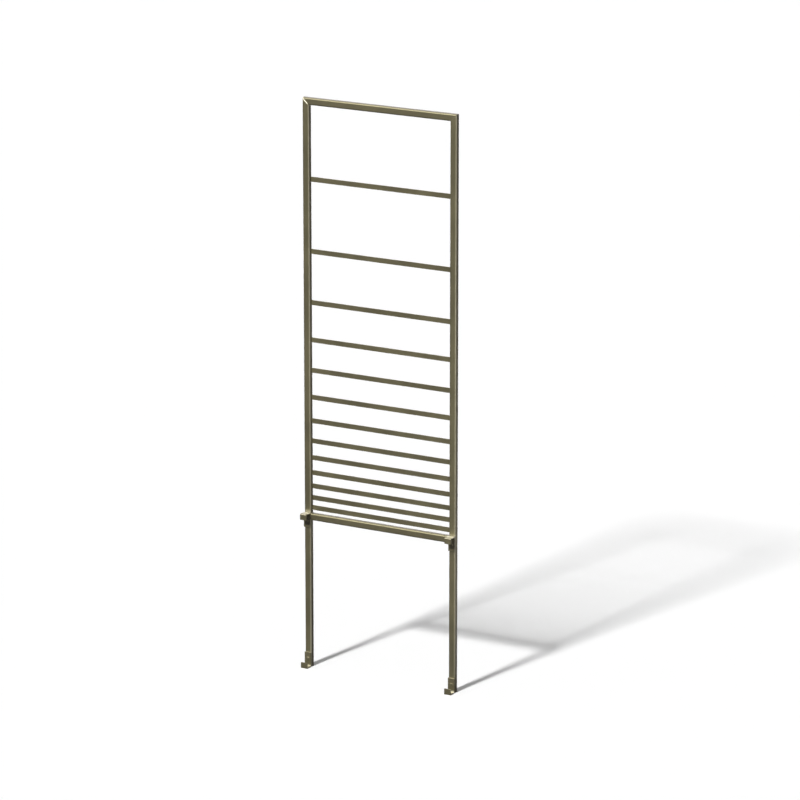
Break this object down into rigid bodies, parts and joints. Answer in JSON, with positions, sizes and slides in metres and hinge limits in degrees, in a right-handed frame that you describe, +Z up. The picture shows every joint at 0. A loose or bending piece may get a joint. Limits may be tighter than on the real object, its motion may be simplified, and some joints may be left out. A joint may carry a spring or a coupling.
{
  "type": "trellis",
  "caption": "Tall metal trellis: welded tube frame with flat slats that close up towards the foot, on two legs with strip hooks for the back wall of a planter.",
  "frame": {"origin": "on the floor, midway between the posts, and midway between the fronts of the hook lips and the backs of the posts", "axes": "+X along the slats, +Y from the hooks towards the back of the posts, +Z up along the posts"},
  "size_m": [0.6, 0.05, 2.0255],
  "materials": {
    "frame_finish": "satin metallic bronze coating on steel",
    "zinc": "bright zinc plating",
    "plug_plastic": "matt black"
  },
  "bodies": {
    "root": {"left_post": "frame_finish", "right_post": "frame_finish", "top_rail": "frame_finish", "bottom_rail": "frame_finish", "slat_01": "frame_finish", "slat_02": "frame_finish", "slat_03": "frame_finish", "slat_04": "frame_finish", "slat_05": "frame_finish", "slat_06": "frame_finish", "slat_07": "frame_finish", "slat_08": "frame_finish", "slat_09": "frame_finish", "slat_10": "frame_finish", "slat_11": "frame_finish", "slat_12": "frame_finish", "slat_13": "frame_finish", "left_rim_hook": "frame_finish", "right_rim_hook": "frame_finish", "left_foot_hook": "frame_finish", "right_foot_hook": "frame_finish", "hook_screws": "frame_finish", "rivet_nuts": "zinc", "left_foot_plug": "plug_plastic", "right_foot_plug": "plug_plastic"}
  },
  "joints": []
}
